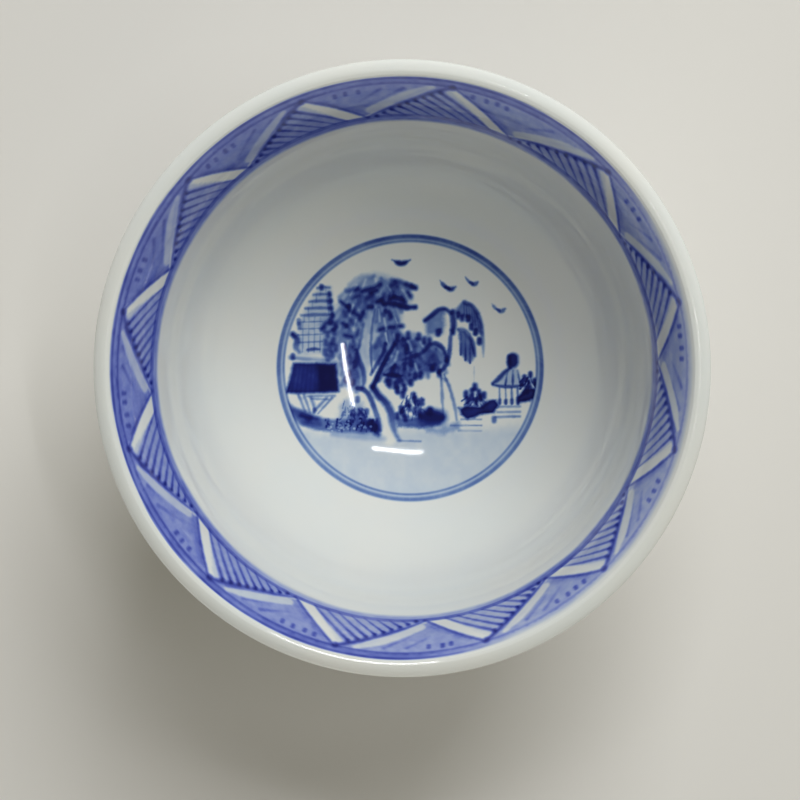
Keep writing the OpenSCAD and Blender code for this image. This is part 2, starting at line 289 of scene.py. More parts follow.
def to_segment(x, y, a, b):
    """How far points are from the line from a to b, and at what share of it the nearest place is."""
    d = b - a
    t = np.clip(((x - a[0]) * d[0] + (y - a[1]) * d[1]) / max(d @ d, 1e-12), 0, 1)
    return np.hypot(x - a[0] - t * d[0], y - a[1] - t * d[1]), t


def ray(x, y, turn, long):
    """Both ends of a straight mark that leaves a point at an angle in degrees."""
    a = math.radians(turn)
    return [(x, y), (x + long * math.cos(a), y + long * math.sin(a))]


class Canvas:
    """Cobalt laid on many points, in the painter's own flat coordinates.

    dark is the density laid, from 0 to 1, or a pair for a stroke's start and end. ends are a stroke's
    widths at its two ends, as shares of its width. soft is the reach of its soft edge, as a share of
    half its width; a wash's soft is that reach itself.
    """

    def __init__(self, x, y, unit, seed):
        self.x = x
        self.y = y
        self.cobalt = np.zeros(len(x))
        wobble = clouds(x, y, 1.6 * unit, seed) - 0.5
        tremble = clouds(x, y, 0.5 * unit, seed + 1) - 0.5
        self.shake = wobble * 1.2 * unit + tremble * 0.5 * unit
        self.patchy = (0.34 * clouds(x, y, 3.5 * unit, seed + 2)
                       + 0.16 * clouds(x, y, 1.3 * unit, seed + 3) - 0.25)

    def near(self, path, margin):
        low = path.min(0) - margin
        high = path.max(0) + margin
        within = (self.x > low[0]) & (self.x < high[0]) & (self.y > low[1]) & (self.y < high[1])
        return np.flatnonzero(within)

    def along(self, points, width, ends, soft):
        """Where a brush mark covers the canvas, and how far along the mark that is."""
        path = curve(points)
        run = np.concatenate([[0], np.cumsum(np.hypot(*np.diff(path, axis=0).T))])
        run /= run[-1]
        opening = ends[0] + (1 - ends[0]) * ease(run / TAPER)
        closing = ends[1] + (1 - ends[1]) * ease((1 - run) / TAPER)
        half = width / 2 * np.minimum(opening, closing)
        here = self.near(path, width)
        x = self.x[here]
        y = self.y[here]
        gap = np.full(len(here), FAR)
        place = np.zeros(len(here))
        for i in range(len(path) - 1):
            off, t = to_segment(x, y, path[i], path[i + 1])
            off = off - (half[i] + (half[i + 1] - half[i]) * t)
            closer = off < gap
            gap[closer] = off[closer]
            place[closer] = (run[i] + (run[i + 1] - run[i]) * t)[closer]
        edge = soft * width / 2
        return here, ease(0.5 - (gap + self.shake[here] * 0.25) / (2 * edge)), place

    def lay(self, here, amount):
        """Lays cobalt over what is there, unevenly where it is thin."""
        uneven = 1 + self.patchy[here] * (1.15 - amount)
        self.cobalt[here] = 1 - (1 - self.cobalt[here]) * (1 - np.clip(amount * uneven, 0, 1))

    def stroke(self, points, width, dark, ends=(0.6, 0.6), soft=0.7):
        start, end = dark if isinstance(dark, tuple) else (dark, dark)
        here, cover, place = self.along(points, width, ends, soft)
        self.lay(here, cover * (start + (end - start) * place))

    def reserve(self, points, width, ends=(1, 1), soft=0.5, keep=0.1):
        """Leaves white porcelain along a path, but for the share of the cobalt that it keeps."""
        here, cover, _ = self.along(points, width, ends, soft)
        self.cobalt[here] *= 1 - cover * (1 - keep)

    def dab(self, x, y, dark=0.8, size=3.5, tall=1.0):
        self.stroke([(x, y - 0.3 * size * tall), (x, y + 0.3 * size * tall)], size, dark, (0.9, 0.9))

    def dabs(self, places, dark=0.8, size=3.5):
        for x, y in places:
            self.dab(x, y, dark, size)

    def wash(self, outline, dark, soft, rough=0.7):
        """A pool of thinned cobalt, a little darker along its edge."""
        p = np.array(outline, float)
        here = self.near(p, 2 * soft)
        x = self.x[here]
        y = self.y[here]
        gap = np.full(len(here), FAR)
        inside = np.zeros(len(here), bool)
        for a, b in zip(p, np.roll(p, -1, axis=0)):
            gap = np.minimum(gap, to_segment(x, y, a, b)[0])
            if a[1] != b[1]:
                left_of = x < a[0] + (y - a[1]) * (b[0] - a[0]) / (b[1] - a[1])
                inside ^= ((a[1] > y) != (b[1] > y)) & left_of
        depth = np.where(inside, gap, -gap) + self.shake[here] * rough
        rim = 1 + 0.12 * np.exp(-(depth / (1.5 * soft)) ** 2)
        self.lay(here, ease(0.5 + depth / (2 * soft)) * dark * rim)

    def fan(self, x, y, reach, first, last, count, dark, width=3.4, droop=0.3):
        """Broad soft leaf strokes that spread from a point and droop, between two angles in degrees."""
        for i in range(count):
            long = reach * (0.85 + 0.3 * ((i * 7 + 3) % 5) / 4)
            start, end = ray(x, y, first + (last - first) * i / (count - 1), long)
            middle = (x + 0.55 * (end[0] - x), y + 0.55 * (end[1] - y))
            self.stroke([start, middle, (end[0], end[1] - droop * long)], width, dark, (0.5, 1.0), 1.0)

    def leaves(self, x, y, wide, tall, count, dark, size, seed):
        """Short leaf dashes that hang outward, strewn over an ellipse."""
        hand = np.random.default_rng(seed)
        for _ in range(count):
            a = hand.uniform(0, 2 * math.pi)
            out = math.sqrt(hand.uniform(0, 1))
            start = np.array([x + wide * out * math.cos(a), y + tall * out * math.sin(a)])
            turn = -math.pi / 2 + 0.7 * out * math.cos(a) + hand.uniform(-0.5, 0.5)
            long = size * hand.uniform(0.7, 1.5)
            end = start + long * np.array([math.cos(turn), math.sin(turn)])
            self.stroke([start, end], size * hand.uniform(0.3, 0.5), dark * hand.uniform(0.7, 1.05),
                        (0.5, 1.0))


# ---- Scene in the well: x to the right and y up, in hundredths of the roundel's radius ----


def paint_birds(c):
    c.stroke([(-13.5, 80.6), (-10, 79), (-6.6, 77.8), (-3, 79), (0, 80.6)], 3.6, 0.92, (0.2, 0.2))
    for x, y, size, dark in ((30, 59.5, 1.0, 0.85), (47.5, 63, 0.8, 0.62), (67.5, 43, 0.85, 0.6)):
        c.stroke([(x - 8 * size, y + 6 * size), (x - 5 * size, y + 2 * size), (x - 1, y - 0.5)], 2.6 * size,
                 (0.7 * dark, dark), (0.3, 1.2))
        c.stroke([(x - 3.5 * size, y + 0.6), (x, y - 0.8), (x + 3.5 * size, y + 1)], 3.6 * size, dark,
                 (0.5, 0.4))


def paint_pagoda(c):
    c.wash([(-68, 60), (-60, 60), (-58, 46), (-55, 38), (-54, 10), (-84, 10), (-83, 30), (-77, 44)], 0.2, 3)
    # upper roofs: the top one pressed down at its left end, the others at their right
    for i in range(5):
        y = 60 - 5.1 * i
        left = -69 - 3 * i
        right = -60 + 0.6 * i
        c.stroke([(left, y - 0.4), ((left + right) / 2, y + 0.2), (right, y)], 2.2, 0.5, (0.9, 0.9), 1.0)
        c.dab(left + 3 if i == 0 else right - 1, y, 0.72, 3.4)
        c.stroke([(left + 2, y), (left + 2, y - 5)], 1.4, 0.28)
        c.stroke([(right - 3, y), (right - 3, y - 5)], 1.4, 0.28)
    # railings of the lower floors
    for y in (34, 29, 24.5, 19):
        c.stroke([(-83.5, y), (-66, y + 0.8)], 1.8, 0.34)
    for x in (-80, -75.7, -71.5, -67.2):
        c.stroke([(x, 38), (x - 0.6, 12)], 1.6, (0.15, 0.34))
    c.dabs([(-83, 34.5), (-82.5, 31)], 0.5, 3.4)
    # bushes that overlap the tower
    c.wash([(-67, 35), (-60, 38.5), (-54, 35), (-55, 25), (-64, 24)], 0.28, 4)
    c.stroke([(-66.5, 29), (-63, 33.5), (-58.5, 33.5), (-56.5, 30), (-60, 27.5)], 3.6, (0.7, 0.6), (0.8, 0.8),
             0.9)
    c.dabs([(-64.5, 28.5), (-60, 35), (-55.5, 32.5), (-57.5, 27), (-62, 25)], 0.6, 4)
    c.wash([(-65, 21), (-56, 22), (-54, 8), (-65, 7)], 0.28, 4)
    c.dabs([(-63.5, 19), (-58, 20), (-60.5, 15), (-56, 15), (-64, 12), (-59, 10), (-62, 7.5)], 0.62, 4.2)
    c.stroke([(-87.5, 25), (-84.5, 21.5), (-85.2, 15.5), (-83, 12)], 4.4, (0.9, 0.5), (1.0, 0.6))
    c.stroke([(-77, 13.5), (-72, 14.2), (-68, 13.8)], 2.6, 0.72)
    c.stroke([(-89.5, 8), (-80, 6.8), (-68, 6), (-56, 4.5)], 3, (0.42, 0.3), (0.9, 0.8), 1.0)
    c.dab(-87.5, 8.5, 0.72, 3.6)


def paint_hut(c):
    roof = [(-87.5, 4), (-70, 3.5), (-56, 3), (-55, -6), (-53.8, -17.8), (-73, -19), (-93, -19),
            (-90.5, -9)]
    c.wash(roof, 0.86, 1.8, 0.25)
    c.wash([(-70, 3), (-56.5, 2.5), (-55.5, -6), (-54.5, -17), (-69, -18)], 0.97, 3, 0.3)
    for i in range(6):
        top = -85 + 2.8 * i
        c.stroke([(top, 3), (top - 3.5 + 0.5 * i, -18)], 2.2, (0.2, 0.35), (0.8, 0.8), 1.0)
    c.stroke([(-77, -21.2), (-57, -20.8)], 2.4, 0.45, soft=1.0)
    c.stroke([(-74, -23), (-62, -23.6)], 2.6, 0.36)
    for top, foot, width in (
            ((-83.5, -20), (-78.5, -32.5), 2.4), ((-79.5, -20), (-75, -33), 2.4),
            ((-74.5, -22), (-71, -32), 3), ((-63, -22.5), (-72, -32.5), 2.8),
            ((-59, -22.5), (-69, -34), 2.2)):
        c.stroke([top, foot], width, 0.46, (0.9, 0.7), 0.9)
    c.dab(-72, -32, 0.55, 3)


def paint_crown(c):
    c.wash([(-54, 47), (-47, 55), (-42, 62), (-36, 69), (-27, 71), (-12, 67.5), (0, 62), (0, 50), (-7, 43),
            (-7, 22), (-16, 14), (-24, 5), (-36, 0), (-52, 2), (-55, 22)], 0.24, 3)
    # fans of leaves, paler at the top
    for x, y, reach, first, last, count, dark in (
            (-27, 69, 17, 185, 262, 6, (0.09, 0.26)), (-22, 67, 15, 245, 330, 6, (0.11, 0.37)),
            (-12, 65.5, 14, 230, 345, 7, (0.18, 0.44)), (-40, 60, 12, 195, 300, 6, (0.14, 0.42)),
            (-30, 56, 14, 215, 325, 6, (0.23, 0.44)), (-16, 54, 13, 225, 340, 6, (0.23, 0.48)),
            (-46, 47, 13, 205, 315, 6, (0.23, 0.44)), (-35, 43, 13, 215, 290, 5, (0.14, 0.35)),
            (-19, 43, 15, 225, 325, 7, (0.23, 0.4)), (-48, 31, 13, 215, 320, 6, (0.18, 0.42)),
            (-17, 30, 13, 225, 340, 7, (0.18, 0.44)), (-43, 20, 12, 220, 320, 6, (0.18, 0.44)),
            (-24, 22, 14, 240, 300, 5, (0.18, 0.4))):
        c.fan(x, y, reach, first, last, count, dark)
    # light left between the fans
    for x, y, turn, long, keep in (
            (-40, 62, 235, 9, 0.45), (-33.5, 66, 250, 8, 0.5), (-26, 66.5, 280, 7, 0.5),
            (-17, 61.5, 300, 6, 0.5), (-43, 47, 250, 8, 0.4), (-41, 36, 255, 8, 0.45),
            (-24, 44, 275, 9, 0.5), (-20, 37, 280, 8, 0.4), (-13, 40, 295, 7, 0.45), (-19, 26, 280, 7, 0.25),
            (-47, 20, 260, 7, 0.5), (-13, 25, 290, 6, 0.5), (-6, 58.5, 310, 5, 0.5), (-50, 13, 265, 7, 0.5)):
        c.reserve(ray(x, y, turn, long), 2.4, (0.5, 0.5), 1.0, keep)
    # cobalt that pooled at the leaves' ends
    for x, y, turn, long, dark in (
            (-10, 65.2, 335, 7, 0.55), (-3, 62.8, 330, 5, 0.7), (1, 61.2, 335, 3, 0.9),
            (-2, 56, 310, 2.5, 0.85), (-14, 65.5, 260, 4, 0.6), (-11.5, 63.5, 300, 3, 0.7),
            (-36, 57.5, 15, 7, 0.85), (-29, 56.5, 20, 4, 0.9), (-27, 60, 30, 5, 0.8),
            (-47.5, 57.5, 10, 2, 0.5), (-42, 58.2, 10, 3, 0.7), (-43, 52, 25, 5, 0.6),
            (-52, 49.7, 320, 6, 0.88), (-47, 46, 290, 3, 0.85), (-25, 49.5, 20, 3, 0.88),
            (-31.3, 45.8, 350, 2, 0.85), (-33, 52, 30, 5, 0.55), (-43, 41, 340, 3, 0.7),
            (-35.5, 41, 240, 5, 0.75), (-51, 33.5, 330, 3, 0.8), (-49, 24.5, 345, 5, 0.8),
            (-39.5, 28, 260, 3, 0.7), (-23.4, 28.5, 20, 3, 0.85), (-15.5, 30.5, 5, 3, 0.85),
            (-9.5, 31.3, 0, 3, 0.8), (-10.2, 24, 265, 3, 0.8), (-5, 21, 330, 3, 0.7),
            (-16.3, 42, 300, 4, 0.7), (-45, 35.5, 300, 3, 0.6), (-50, 42, 300, 3, 0.6),
            (-13.5, 56.5, 290, 4, 0.6), (-6.5, 53, 300, 4, 0.75), (-20, 55, 250, 4, 0.55),
            (-44, 16, 300, 3, 0.7), (-50, 17, 280, 3, 0.6), (-41, 10, 280, 3, 0.6)):
        c.stroke(ray(x, y, turn, long), 4, dark, (0.8, 0.9), 0.9)
    c.stroke([(-15, 51.8), (-11.5, 53.2), (-6, 50.8)], 3.4, (0.85, 0.7), (0.7, 0.7))
    c.stroke([(-20, 47.8), (-13, 48.2), (-5, 45.7), (3.5, 45.5)], 4.6, (0.85, 0.93), (0.6, 0.8))
    c.wash([(-53, 6), (-37, 6), (-38, -10), (-44, -17), (-51, -13), (-52, -3)], 0.32, 3)
    c.fan(-46, 9, 14, 220, 320, 6, (0.2, 0.45))
    c.fan(-43, 0, 12, 225, 315, 6, (0.2, 0.45))
    c.dabs([(-50, 2), (-46, -4), (-42, 3), (-48.5, -9), (-43, -11)], 0.6, 3.6)


def paint_trunk(c):
    """Limbs and trunk: bare porcelain between two lines."""
    c.reserve([(-32.5, -12), (-33, 0), (-34.5, 12), (-33, 26), (-29.5, 40)], 8.5, (1, 0.6), 0.7, 0.25)
    c.stroke([(-33.5, -2), (-34.5, 12), (-32.5, 28), (-29, 43)], 5, (0.1, 0.26), (1, 0.8), 1.2)
    c.reserve([(-32, -8), (-24, -24), (-18.5, -36), (-16, -53)], 10, (0.8, 1), keep=0.05)
    c.stroke([(-41, 14), (-38.5, 5), (-36, -2), (-35.2, -10), (-36.5, -15)], 3.6, (0.75, 0.6))
    c.stroke([(-40, -15), (-35, -16.5), (-31, -21), (-27, -31), (-23.5, -42), (-22.5, -47)], 3.6, (0.85, 0.5),
             (1, 0.6))
    c.stroke([(-35.5, 33), (-38, 20), (-40, 12)], 2.4, (0.4, 0.6), soft=0.9)
    c.stroke([(-26.5, 44), (-29, 32), (-30, 18), (-29.8, 5), (-29, -3)], 2, (0.35, 0.6), soft=0.9)
    c.stroke([(-30, -5), (-25.5, 3), (-21.5, 10), (-19, 18)], 3, (0.55, 0.85), (0.7, 1))
    c.stroke([(-28.5, -14), (-22.5, -1), (-17.5, 9), (-12, 18)], 4, (0.95, 0.85), (1, 0.8))
    c.stroke([(-28.5, -15), (-24, -21), (-19, -26), (-15, -33), (-13.5, -42), (-11.5, -49), (-8.5, -54)], 5.5,
             (0.95, 0.5), (1, 0.4))
    c.stroke([(-20, -5), (-14, -5.5), (-7, -6)], 3.5, 0.85)
    c.dabs([(-5, -14.5), (-10, -16.5), (-6, -20), (-17, -11)], 0.85, 4.5)


def paint_side_leaves(c):
    """Leaves between the limbs and to their right."""
    c.wash([(-12, 25), (2, 27), (12, 22), (20, 16), (19, 0), (10, -7), (-2, -11), (-15, -14), (-21, -4),
            (-13, 10)], 0.36, 3)
    c.wash([(10, 16), (20, 16.5), (25, 11), (25.5, 4), (20, -3), (12, -2)], 0.3, 2.5)
    for x, y, reach, first, last, count, dark in (
            (-6, 22, 12, 215, 345, 7, (0.25, 0.5)), (-3, 11, 14, 195, 345, 8, (0.25, 0.5)),
            (11, 14, 14, 225, 330, 7, (0.2, 0.5)), (-12, 2, 13, 210, 340, 7, (0.3, 0.58)),
            (19, 14, 13, 235, 320, 5, (0.15, 0.42)), (4, 22, 10, 220, 330, 6, (0.2, 0.45))):
        c.fan(x, y, reach, first, last, count, dark, 3)
    for gap, width, keep in (
            ([(-2, 20), (0, 14)], 3, 0.4), ([(7, 20), (10, 15)], 2.6, 0.4),
            ([(-10, 12), (-12, 6)], 2.6, 0.45), ([(3, 3), (5, -3)], 2.4, 0.45)):
        c.reserve(gap, width, (0.6, 0.6), 1.0, keep)
    c.stroke([(-6, 6), (2, 8.5), (7.5, 11), (12, 15.5), (17.5, 18.3), (23, 15.5), (26.2, 10), (26.5, 5.5)],
             3.6, (0.6, 0.85), (0.7, 0.9))
    c.dabs([(10, 20.5), (14, 20), (15, 0), (17.5, 0.5), (7, -5), (3, -6), (0, -11), (-3, 15), (0, 4),
            (-9, -9), (-5, 1), (6, 23.5), (-2, 24.5), (-14, -2), (-12, -13)], 0.78, 4.4)


def paint_willow(c):
    c.wash([(10, 36), (18, 42), (25, 44), (25.5, 32), (24, 26), (12, 24)], 0.5, 3)
    c.stroke([(10.5, 35.5), (16, 39.5), (21, 43.5), (26, 44), (30, 41)], 3.6, (0.9, 0.75), (0.8, 0.8))
    c.dab(20.5, 26.5, 0.85, 4.2)
    c.dab(22.2, 28, 0.65, 3)
    c.stroke([(31.5, 42), (32, 33), (31.8, 26)], 4.5, (0.85, 0.85), (0.9, 0.7))
    c.stroke([(30.5, 28), (29.5, 19), (28.5, 9), (25.5, 1), (21, -3.5)], 3.2, (0.65, 0.8), (0.8, 1.1))
    c.dab(21.5, -3.5, 0.8, 4.2)
    c.wash([(33, 43), (37, 48), (41, 50.5), (46, 47.5), (51, 41), (54, 32), (53.5, 24), (50, 26), (46, 33),
            (41, 37), (35.5, 38.5)], 0.6, 2)
    c.stroke([(40, 49), (47, 45.5), (52, 36), (54, 22), (54.5, 8.5)], 3, (0.6, 0.3), (1, 0.4))
    for i in range(6):
        c.stroke([(40 + 1.8 * i, 48.5 - 1.2 * i), (40 + 2.2 * i, 40 - 2 * i)], 1.6, (0.2, 0.5), soft=0.9)
    c.dabs([(35.5, 39.5), (38.5, 37.5), (43, 37), (45.5, 31), (48.5, 27), (51.5, 20)], 0.85, 4)
    c.wash([(36, 28.5), (41, 28), (46, 21), (48.5, 11), (44.5, 4), (41, 5), (37, 11)], 0.62, 2)
    c.stroke([(35.5, 29), (41, 27.5), (46, 19), (48, 9)], 3.6, (0.5, 0.7))
    for x, y in ((37.5, 10), (41, 6), (44.5, 3.8)):
        c.stroke([(x, 26), (x, y)], 2.2, (0.1, 0.8))
    c.stroke([(47.5, 1), (47.5, -11)], 1.6, 0.14)
    c.stroke([(22.5, -4), (23.5, -20), (24.5, -39)], 2.2, (0.5, 0.3))
    c.stroke([(25, -5), (29.5, -16), (33, -29), (34.5, -39)], 2.6, (0.6, 0.35))
    c.stroke([(21, -6), (26, -9)], 5, 0.4)


def paint_left_bank(c):
    """The bank under the hut, mottled towards its right end."""
    c.wash([(-93, -23), (-87, -29), (-80, -32), (-72, -36), (-60, -38.5), (-45, -39), (-25, -39), (-23, -47),
            (-35, -48.5), (-50, -48), (-68, -47), (-80, -43.5), (-88, -37)], 0.56, 2, 0.4)
    c.stroke([(-87, -32), (-79, -36), (-70, -38.5)], 7, (0.55, 0.75))
    c.stroke([(-81, -35.5), (-74.5, -37.5)], 5, 0.85)
    c.stroke([(-80, -40.5), (-68, -42.5)], 6, 0.5)
    c.stroke([(-40, -43), (-34, -43), (-27, -43.5)], 9, (0.5, 0.85), (0.8, 0.8), 1.0)
    c.stroke([(-30, -42), (-27, -46), (-24, -50)], 6, 0.85, (1, 0.5))
    c.stroke([(-58, -49.5), (-40, -50.5), (-20, -53)], 6, 0.22)
    c.wash([(-55, -40), (-53, -30), (-50, -24), (-40, -23), (-33, -32), (-32, -40)], 0.26, 3)
    hand = np.random.default_rng(31)
    for _ in range(60):
        x, y = hand.uniform(-64, -25), hand.uniform(-47.5, -38.5)
        c.dab(x, y, hand.uniform(0.35, 0.8), hand.uniform(1.2, 2.2))
    for _ in range(30):
        x, y = hand.uniform(-62, -27), hand.uniform(-47, -39)
        c.reserve([(x, y), (x + 0.4, y)], hand.uniform(1, 1.6), keep=0.65)
    c.leaves(-44, -31, 11, 8, 30, 0.5, 3, 21)
    c.dabs([(-43, -33.5), (-38.5, -33), (-40, -37), (-35, -37), (-44, -37.5)], 0.62, 4)
    c.dabs([(-40, -23.5), (-33, -33)], 0.6, 3.6)


def paint_middle_mound(c):
    """The mound at the tree's foot, and its shrub."""
    c.wash([(-11, -38), (5, -37), (10, -31), (15, -30), (22, -32), (25.5, -37), (22, -43), (5, -45),
            (-10, -44)], 0.62, 2)
    c.stroke([(9, -37), (15, -37), (22, -37)], 11, 0.9, (0.8, 0.9))
    c.dab(14.5, -32.5, 0.92, 5)
    c.dabs([(2, -21), (-2, -26.5), (5.5, -26.5), (-1, -30), (6.5, -33.5), (-7.5, -31), (-4, -38), (3, -24),
            (-5.5, -34.5), (3, -32), (-10, -36), (8.5, -25.5)], 0.8, 4.2)
    c.leaves(1, -29, 10, 7, 18, 0.55, 3.4, 22)
    c.leaves(0, -24, 10, 6, 12, 0.5, 3.4, 24)
    c.wash([(8, -43), (20, -45), (36, -40), (37, -46), (25, -50), (12, -48)], 0.3, 2.5)


def paint_right_bank(c):
    c.wash([(35.5, -30), (42, -28.5), (52, -28), (58, -24.5), (64, -23.5), (66, -28), (62, -33.5),
            (52, -35.5), (43, -38.5), (37.5, -35)], 0.9, 1.8)
    c.dabs([(48, -14), (46, -18), (41.5, -20), (51, -19), (55, -20.5), (43, -25), (49, -25), (45.5, -22.5),
            (52.5, -22.5)], 0.84, 4.2)
    c.leaves(48, -22, 7, 5, 16, 0.7, 3.4, 23)
    # point at the far right
    c.leaves(87.5, -11, 6, 5, 20, 0.75, 3.4, 25)
    c.wash([(79, -22), (84, -17), (90, -13.5), (94.5, -16), (93.5, -22), (87, -25), (80, -26.5)], 0.94, 1.8)
    c.dabs([(85, -7.5), (89.5, -5), (92.5, -10), (83.5, -11.5), (88.5, -12.5), (86.5, -15)], 0.85, 3.6)


def paint_pavilion(c):
    c.stroke([(76.5, 7), (76.5, 4.5)], 9, 0.95, (0.95, 0.95), 0.4)
    c.stroke([(74, 8), (74.2, 1)], 4, 0.85, (0.8, 0.9))
    c.wash([(74, 0), (79, 0), (82, -6), (85, -13), (62, -14)], 0.22, 2)
    c.stroke([(74.5, 0), (70, -3.5), (65.5, -8.5), (61.5, -11.5)], 3.6, 0.82)
    c.stroke([(61.5, -12.5), (70, -14), (80, -13.5), (85, -12.5)], 2.6, 0.7)
    for x, lean in ((72.5, -1.5), (76.5, 0), (80, 2)):
        c.stroke([(x, -2), (x + lean, -12.5)], 2.4, (0.35, 0.8))
    for x in (66.5, 71, 75.5, 80):
        c.stroke([(x, -15), (x + 0.4, -27)], 2.2, 0.55)
        c.dab(x + 0.2, -25, 0.6, 3)
    for y, left, dark in ((-29, 66, 0.35), (-33, 65, 0.4), (-36.5, 64, 0.45)):
        c.stroke([(left, y), (81.5, y + 0.4)], 2.8, dark)
    c.dab(62.5, -38.5, 0.6, 3.5)


def paint_water(c):
    c.wash([(-95, -44), (-60, -50), (-30, -50), (0, -46), (40, -47), (95, -43), (90, -110), (-90, -110)],
           0.115, 6)
    c.stroke([(-10, -54.5), (7.5, -55)], 2.2, (0.25, 0.4))
    for y, left, dark in ((-38.5, 38, 0.35), (-43, 30, 0.4), (-47, 36, 0.22)):
        c.stroke([(left, y), (53, y)], 2, dark)


def paint_scene(c):
    """Lays every motif, the distant ones first."""
    paint_water(c)
    paint_pagoda(c)
    paint_crown(c)
    paint_trunk(c)
    paint_side_leaves(c)
    paint_hut(c)
    paint_willow(c)
    paint_left_bank(c)
    paint_middle_mound(c)
    paint_right_bank(c)
    paint_pavilion(c)
    paint_birds(c)
    return c.cobalt


def ring_cobalt(r, angle):
    """Density of the two rings around the scene, by radius and direction."""
    x = np.cos(angle)
    y = np.sin(angle)
    patchy = (0.8 + 0.25 * clouds(x * 8 + 20, y * 8 + 20, 1.0, 7)
              + 0.1 * clouds(x * 60 + 80, y * 60 + r * 40 + 80, 1.0, 8))
    top = 0.5 + 0.5 * np.sin(angle + 0.3)
    outer = (0.36 + 0.14 * top) * ease((0.024 - np.abs(r - 0.979)) / 0.02)
    between = (0.20 + 0.20 * top) * ease((r - 0.935) / 0.014) * ease((0.998 - r) / 0.014)
    inner = 0.36 * ease((0.015 - np.abs(r - 0.941)) / 0.014)
    return np.clip((1 - (1 - outer) * (1 - between) * (1 - inner)) * patchy, 0, 1)


# ---- Border: x is millimetres around the wall, y millimetres up from the border's lower edge ----

BORDER_R = 37.3         # of the wall there
BORDER_W = 11.5         # up the wall's curve
MM_PER_DEGREE = math.radians(BORDER_R)
REPEATS = 12
SHIFTS = (-2, -2, 4, 5, 3, 3, 1, 2, 1, 2, 0, -2)        # degrees that each point is off its even place
LEFT_SHARE = 0.39       # how much of the way between two points belongs to the one on the right
PANEL_TOP = 10.4
HATCHES = 9
FULLER_AND_SHADED_AT = 135         # where the panels are darkest, in degrees: a fuller brush and painted shade
STRONG_AT = 160         # where the upper band is strongest
PALE_LOW_AT = 262       # where the lower band is palest and its line is darkest


def paint_repeat(c, number, left, right, following, lean, fuller_and_shaded):
    """One hatched panel with its point at x = 0, the dotted panel to its right, and the zigzag."""
    rise = np.array([-left, 7.8]) / math.hypot(left, 7.8)
    high = np.array([0.6, 9.9])
    low = np.array([right - 0.7, 2.2])
    fall = (low - high) / np.hypot(*(low - high))
    side = np.array([-fall[1], fall[0]])
    # dotted panel above the falling stripe, with brush marks in its wash
    c.wash([(0.4, PANEL_TOP), (2.0, 8.8), (right - 1.4, 3.6), (right + 0.6, 2.4), (following, PANEL_TOP)],
           0.28 + 0.22 * fuller_and_shaded, 0.35)
    for j in range(3):
        t = (j + 0.3 * lean[1]) / 5
        a = np.array([3.0 + (following - 5.0) * t, 9.0])
        b = a + np.array([4.6, -3.6]) * (1 - 0.7 * t)
        c.stroke([a, b], 0.66, (0.36 + 0.1 * fuller_and_shaded, 0.16), (0.8, 0.4), 1.1)
    c.stroke([(right + 0.9, 4.0), (following - 1.8, 8.6)], 1.3, 0.22, (0.5, 0.6), 1.0)
    # hatched panel under the rising stripe
    c.wash([(left + 3.2, 2.0), (0.7, 9.4), low], 0.22 + 0.18 * fuller_and_shaded, 0.35)
    # the two white stripes, with a little of the wash left in them
    keep = 0.18 + 0.3 * fuller_and_shaded
    falling = [high + 2.2 * fall + 1.15 * side, high + 0.55 * (low - high) + 1.3 * side,
               low - 1.0 * fall + (1.35 + 0.15 * lean[2]) * side]
    c.reserve(falling, 1.7 + 0.2 * lean[3], (0.45, 1), 0.35, keep)
    c.reserve([(left + 1.7, 2.2), (0.5, 9.0)], 1.6 + 0.15 * lean[4], (1, 0.9), 0.35, keep)
    for j in range(HATCHES):
        head = high + (low - high) * ((j + 1.15) / (HATCHES + 0.6)) + (0, -0.5)
        tail = head - rise * (head[1] - 2.0) / rise[1]
        width = 0.52 + 0.08 * math.sin(7 * j + number)
        c.stroke([head, tail], width, (0.62 + 0.14 * fuller_and_shaded, 0.42), (1.2, 0.6), 1.1)
        c.dab(head[0] - 0.1, head[1] + 0.05, 0.5 + 0.1 * math.sin(5 * j), 0.7)
    # thick falling line, thin rising line, and the drop where they meet
    bend = high + (low - high) * 0.5 + (0, 0.15 * lean[5])
    c.stroke([high, bend, low + (0.6, 0.0)], 0.7, (0.74, 0.7), (0.9, 0.6), 1.1)
    bow = (left * 0.5, 6.1 + 0.2 * lean[0])
    c.stroke([(left, 1.8), bow, (0.1, 10.1)], 0.52, (0.5, 0.66), (0.8, 1.3), 1.1)
    c.dab(0.3, 10.0, 0.6, 0.9)
    for j in range(3 + number % 2):
        c.dab(following - 7.2 + 1.5 * j + 0.2 * lean[j % 4], 8.9 + 0.12 * (j % 2), 0.5, 0.66, 1.3)


def edge_bands(angle, s, seed):
    """Densities of the band and the line along each of the border's edges, uneven around the cup."""
    strong = ease((np.cos(np.radians(angle - STRONG_AT)) + 0.78) / 0.5)
    pale = ease((np.cos(np.radians(angle - PALE_LOW_AT)) - 0.75) / 0.2)
    wave = 0.25 * (clouds_around(angle, MM_PER_DEGREE, s * 0, 6.0, seed) - 0.5)
    upper = ease((s - 9.75 + wave) / 0.5) * ease((11.75 - s + wave) / (0.25 + 0.9 * (1 - strong)))
    upper_line = ease(1 - np.abs(s - 11.3 + wave * 0.4) / 0.38)
    lower = ease((s + 0.3 + wave) / 1.2) * ease((2.5 - s) / 0.5)
    lower_line = ease(1.4 - np.abs(s - 1.75 + wave * 0.3) / 0.45)
    return ((0.22 + 0.30 * strong) * upper, 0.45 * strong * upper_line,
            (0.50 - 0.20 * pale) * lower, (0.30 + 0.14 * pale) * lower_line)


